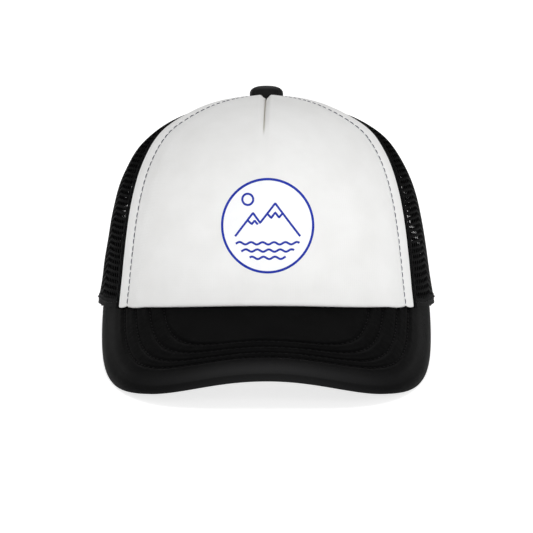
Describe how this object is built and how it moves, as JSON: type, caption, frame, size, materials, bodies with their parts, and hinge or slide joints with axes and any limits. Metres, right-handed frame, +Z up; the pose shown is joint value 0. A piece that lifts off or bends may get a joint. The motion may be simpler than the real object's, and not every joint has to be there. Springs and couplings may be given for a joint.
{
  "type": "trucker mesh cap",
  "caption": "Foam-fronted cap with mesh sides and back, curved padded visor, covered top button, sweatband and a plastic snap strap under a half-moon rear opening.",
  "frame": {"origin": "on the surface the cap stands on, under the middle of its bounding box", "axes": "-Y is the front, where the visor points; +X is the wearer's left; +Z is up. The cap leans back 9.2 degrees, standing on the two corners of its visor and its rear hem"},
  "size_m": [0.1708, 0.2555, 0.1213],
  "materials": {
    "white_knit": "smooth knit face",
    "white_foam": "open-cell foam",
    "black_mesh": "knitted net",
    "black_tape": "woven tape",
    "black_twill": "twill",
    "black_knit": "smooth knit face",
    "grey_foam": "foam",
    "visor_plastic": "matt",
    "black_plastic": "satin",
    "button_metal": "satin",
    "label_satin": "satin",
    "print_film": "printed film"
  },
  "bodies": {
    "cap": {"front_panel_face": "white_knit", "front_panel_foam": "white_foam", "front_print_film": "print_film", "left_side_mesh": "black_mesh", "right_side_mesh": "black_mesh", "left_rear_mesh": "black_mesh", "right_rear_mesh": "black_mesh", "left_front_seam_tape": "black_tape", "right_front_seam_tape": "black_tape", "left_rear_seam_tape": "black_tape", "right_rear_seam_tape": "black_tape", "centre_back_seam_tape": "black_tape", "left_hem_binding": "black_tape", "right_hem_binding": "black_tape", "rear_arch_binding": "black_tape", "sweatband": "black_twill", "sweatband_interlining": "grey_foam", "care_label": "label_satin", "visor_top_cover": "black_knit", "visor_padding": "grey_foam", "visor_board": "visor_plastic", "visor_under_cover": "black_knit", "button_cover": "black_knit", "button_shell": "button_metal", "button_tack": "button_metal", "button_back_plate": "button_metal", "socket_strap_flange": "black_plastic", "stud_strap_flange": "black_plastic"},
    "socket_strap": {"socket_strap": "black_plastic"},
    "stud_strap": {"stud_strap": "black_plastic"}
  },
  "joints": [
    {"name": "socket_strap_swing", "type": "hinge", "parent": "cap", "child": "socket_strap", "pos_m": [-0.0398, 0.11187, 0.01125], "axis": [0.0567, 0.0851, 0.9948], "range_deg": [0, 40], "stiffness_Nm_per_rad": 0.02},
    {"name": "stud_strap_swing", "type": "hinge", "parent": "cap", "child": "stud_strap", "pos_m": [0.0398, 0.11187, 0.01125], "axis": [-0.0567, 0.0851, 0.9948], "range_deg": [0, 25], "stiffness_Nm_per_rad": 0.02}
  ]
}
